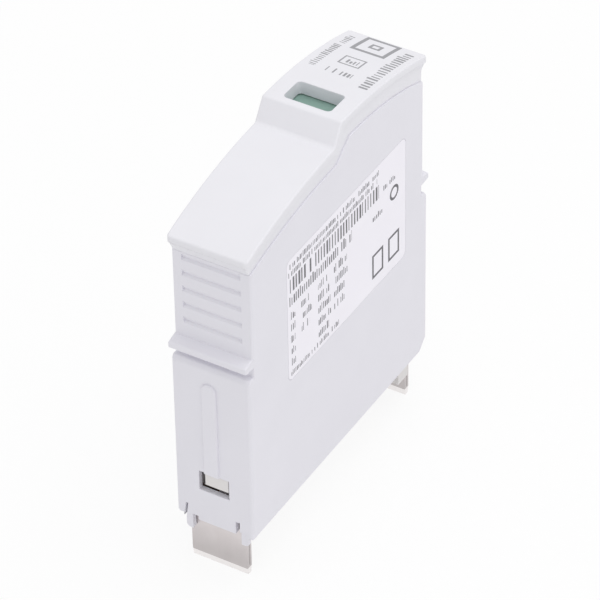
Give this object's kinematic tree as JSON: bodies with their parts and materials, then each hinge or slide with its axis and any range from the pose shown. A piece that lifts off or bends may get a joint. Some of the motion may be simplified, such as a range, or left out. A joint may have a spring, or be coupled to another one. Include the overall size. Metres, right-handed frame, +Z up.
{
  "type": "plug-in surge arrester module",
  "caption": "Slim upright plug-in surge arrester module with finger grips, stepped top with a status window, a side label and bevelled contact blades below.",
  "frame": {"origin": "middle of the bounding box at the level of the contact blades' tips", "axes": "+X across the thin width, out of the labelled side; +Y along the length, from the front end with the lower half of the top to the rear end; +Z up, the way the module pulls out of its rail base"},
  "size_m": [0.0116, 0.0468, 0.0597],
  "materials": {
    "case_plastic": "fine satin moulded polyamide, light grey",
    "cap_plastic": "fine satin moulded polyamide, light grey",
    "carrier_plastic": "pale cream glass-filled moulding",
    "label_film": "white film label with plain grey marks",
    "zinc_oxide": "sintered zinc oxide",
    "rim_coat": "dipped epoxy",
    "silver_coat": "fired silver",
    "solder": "dull solder",
    "copper": "copper sheet",
    "spring_bronze": "spring bronze strip",
    "tinned_copper": "tinned copper sheet",
    "indicator_green": "green moulding",
    "spring_steel": "steel wire",
    "indicator_red": "red moulding"
  },
  "bodies": {
    "module": {"case": "case_plastic", "cap": "cap_plastic", "carrier": "carrier_plastic", "side_label": "label_film", "varistor": "zinc_oxide", "varistor_rim": "rim_coat", "coat_a": "silver_coat", "coat_b": "silver_coat", "solder_a": "solder", "solder_b": "solder", "electrode_a": "copper", "electrode_b": "copper", "thermal_solder": "solder", "strap_front": "copper", "strap_rear": "copper", "blade_front": "tinned_copper", "blade_rear": "tinned_copper", "trip_spring": "spring_steel", "fault_marker": "indicator_red"},
    "slider": {"slider": "indicator_green"},
    "arm": {"disconnect_arm": "spring_bronze"}
  },
  "joints": [
    {"name": "slider_trip", "type": "slide", "parent": "module", "child": "slider", "axis": [0, 1, 0], "range_m": [0, 0.0046], "deforming": ["trip_spring"]},
    {"name": "arm_lift", "type": "hinge", "parent": "module", "child": "arm", "pos_m": [0.00095, 0.0172, 0.0444], "axis": [-1, 0, 0], "range_deg": [0, 8.3]}
  ],
  "couplings": [
    {"joint": "arm_lift", "follows": "slider_trip", "rad_per_m": 31.48}
  ]
}
